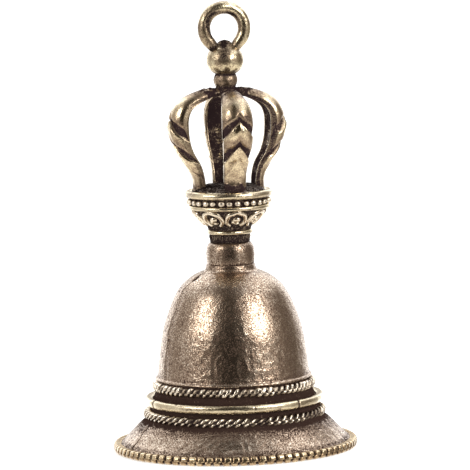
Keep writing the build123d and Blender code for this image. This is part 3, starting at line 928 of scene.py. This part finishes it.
floor_mesh = bpy.data.meshes.new("floor")
floor_corners = [(x * FLOOR_HALF, y * FLOOR_HALF, 0) for x, y in ((-1, -1), (1, -1), (1, 1), (-1, 1))]
floor_mesh.from_pydata(floor_corners, [], [(0, 1, 2, 3)])
floor_mesh.materials.append(white_floor())
floor = bpy.data.objects.new("floor", floor_mesh)
scene.collection.objects.link(floor)
floor.visible_glossy = False

# The room's brightness at bearings from the camera's side, in degrees: near the horizon, then overhead.
BRIGHTEST = 2.5
ROOM = (
    (-180, 0.6), (-154, 2.4), (-138, 1.4), (-118, 0.6), (-100, 0.55), (-80, 0.8), (-62, 0.6), (-45, 0.35),
    (-32, 0.10), (-20, 0.03), (0, 0.02), (16, 0.03), (28, 0.12), (45, 0.7), (66, 0.55), (88, 0.3),
    (112, 0.16), (134, 0.4), (158, 2.2), (180, 0.6),
)
CEILING = (
    (-180, 1.6), (-140, 1.9), (-110, 1.1), (-80, 0.7), (-50, 0.35), (-25, 0.08), (0, 0.04), (20, 0.08),
    (40, 0.6), (60, 1.4), (85, 2.0), (115, 2.1), (145, 2.1), (180, 1.6),
)
# Where the ceiling, the zenith and the floor's light begin and are complete, as the sine of a direction's lift.
CEILING_FROM, ZENITH_FROM, FLOOR_FROM = (0.45, 0.78), (0.84, 0.97), (-0.25, -0.6)
ZENITH_SHARE = 0.42


def brightness_round(tree, bearing_share, levels):
    """A colour that follows the bearing: warmer where the room is darker."""
    band = add(tree, "ShaderNodeValToRGB", {"Fac": bearing_share})
    stops = band.color_ramp.elements
    for bearing, _ in levels[1:-1]:
        stops.new((bearing + 180) / 360)
    for stop, (_, value) in zip(stops, levels):
        pale = min(1.0, value)
        red = value / BRIGHTEST
        stop.color = (red, red * (0.8 + 0.2 * pale), red * (0.62 + 0.38 * pale), 1)
    return band.outputs["Color"]


def studio(tree):
    """The room that the metal reflects. The camera sees plain white."""
    look = add(tree, "ShaderNodeTexCoord").outputs["Generated"]
    forward, sideways = (
        add(tree, "ShaderNodeVectorMath", {0: look, 1: way}, operation="DOT_PRODUCT").outputs["Value"]
        for way in (TO_CAMERA, RIGHT)
    )
    lift = add(tree, "ShaderNodeSeparateXYZ", {0: look}).outputs["Z"]
    share = mapped(tree, math_node(tree, "ARCTAN2", sideways, forward), -math.pi, math.pi)
    walls, ceiling = (brightness_round(tree, share, levels) for levels in (ROOM, CEILING))
    smooth = {"interpolation_type": "SMOOTHSTEP"}
    overhead = mapped(tree, lift, *CEILING_FROM, **smooth)
    room = add(tree, "ShaderNodeMix", {0: overhead, 6: walls, 7: ceiling}, data_type="RGBA").outputs[2]
    strength = mapped(tree, lift, *ZENITH_FROM, BRIGHTEST, ZENITH_SHARE * BRIGHTEST, **smooth)
    around = add(tree, "ShaderNodeBackground", {"Color": room, "Strength": strength})
    below = add(tree, "ShaderNodeBackground", {"Color": (1.0, 0.93, 0.84, 1), "Strength": 1.15})
    floor_seen = mapped(tree, lift, *FLOOR_FROM, **smooth)
    lit = add(tree, "ShaderNodeMixShader", {0: floor_seen, 1: around.outputs[0], 2: below.outputs[0]})
    plain = add(tree, "ShaderNodeBackground", {"Color": (1, 1, 1, 1), "Strength": 1.0})
    seen = add(tree, "ShaderNodeLightPath").outputs["Is Camera Ray"]
    shown = add(tree, "ShaderNodeMixShader", {0: seen, 1: lit.outputs[0], 2: plain.outputs[0]})
    add(tree, "ShaderNodeOutputWorld", {"Surface": shown.outputs[0]})


world = bpy.data.worlds.new("studio")
scene.world = world
world.use_nodes = True
world.node_tree.nodes.clear()
studio(world.node_tree)

LAMP_LIFT, LAMP_DISTANCE, LAMP_HEIGHT, LAMP_COLOUR = math.radians(29), 0.8, 0.48, (1, 0.97, 0.92)
LAMP_AIM = Vector((0, 0, 0.02))


def softbox(name, bearing, width, watts):
    """An oval lamp at a bearing from the camera's side, in degrees, that faces the bell."""
    a, e = BEARING + math.radians(bearing), LAMP_LIFT
    way = Vector((math.sin(a) * math.cos(e), -math.cos(a) * math.cos(e), math.sin(e)))
    data = bpy.data.lights.new(name, "AREA")
    data.shape, data.size, data.size_y = "ELLIPSE", width, LAMP_HEIGHT
    data.energy, data.color = watts, LAMP_COLOUR
    lamp = bpy.data.objects.new(name, data)
    lamp.location = way * LAMP_DISTANCE + LAMP_AIM
    lamp.rotation_euler = (-way).to_track_quat("-Z", "Y").to_euler()
    scene.collection.objects.link(lamp)


softbox("softbox_left", -56, 0.42, 2.0)
softbox("softbox_right", 51, 0.44, 2.9)

# The camera stands a little above the bell and is rolled a little.
AWAY, EYE_HEIGHT, AIM_HEIGHT = 0.450, 0.0720, 0.025
PIXELS_PER_MM, ROLL, PICTURE, SENSOR = 9.068, math.radians(-1.6), 470, 36.0
AIM_PIXEL = (229.5, 222.9)  # where the aimed point comes in the picture, from its top left
OFF_RIGHT, OFF_DOWN = ((PICTURE / 2 - pixel) / PIXELS_PER_MM * MM for pixel in AIM_PIXEL)


def facing(start, end):
    """The camera's rolled turn at start when it faces end."""
    return (end - start).to_track_quat("-Z", "Y").to_matrix() @ Matrix.Rotation(ROLL, 3, "Z")


camera_data = bpy.data.cameras.new("camera")
camera = bpy.data.objects.new("camera", camera_data)
scene.collection.objects.link(camera)
camera.location = TO_CAMERA * AWAY + Vector((0, 0, EYE_HEIGHT))
target = Vector((0, 0, AIM_HEIGHT))
distance = (camera.location - target).length
target += facing(camera.location, target) @ Vector((OFF_RIGHT, -OFF_DOWN, 0))
camera.rotation_euler = facing(camera.location, target).to_euler()
camera_data.sensor_width = SENSOR
camera_data.lens = PIXELS_PER_MM / MM * distance / PICTURE * SENSOR
camera_data.clip_start, camera_data.clip_end = 0.01, 20
scene.camera = camera
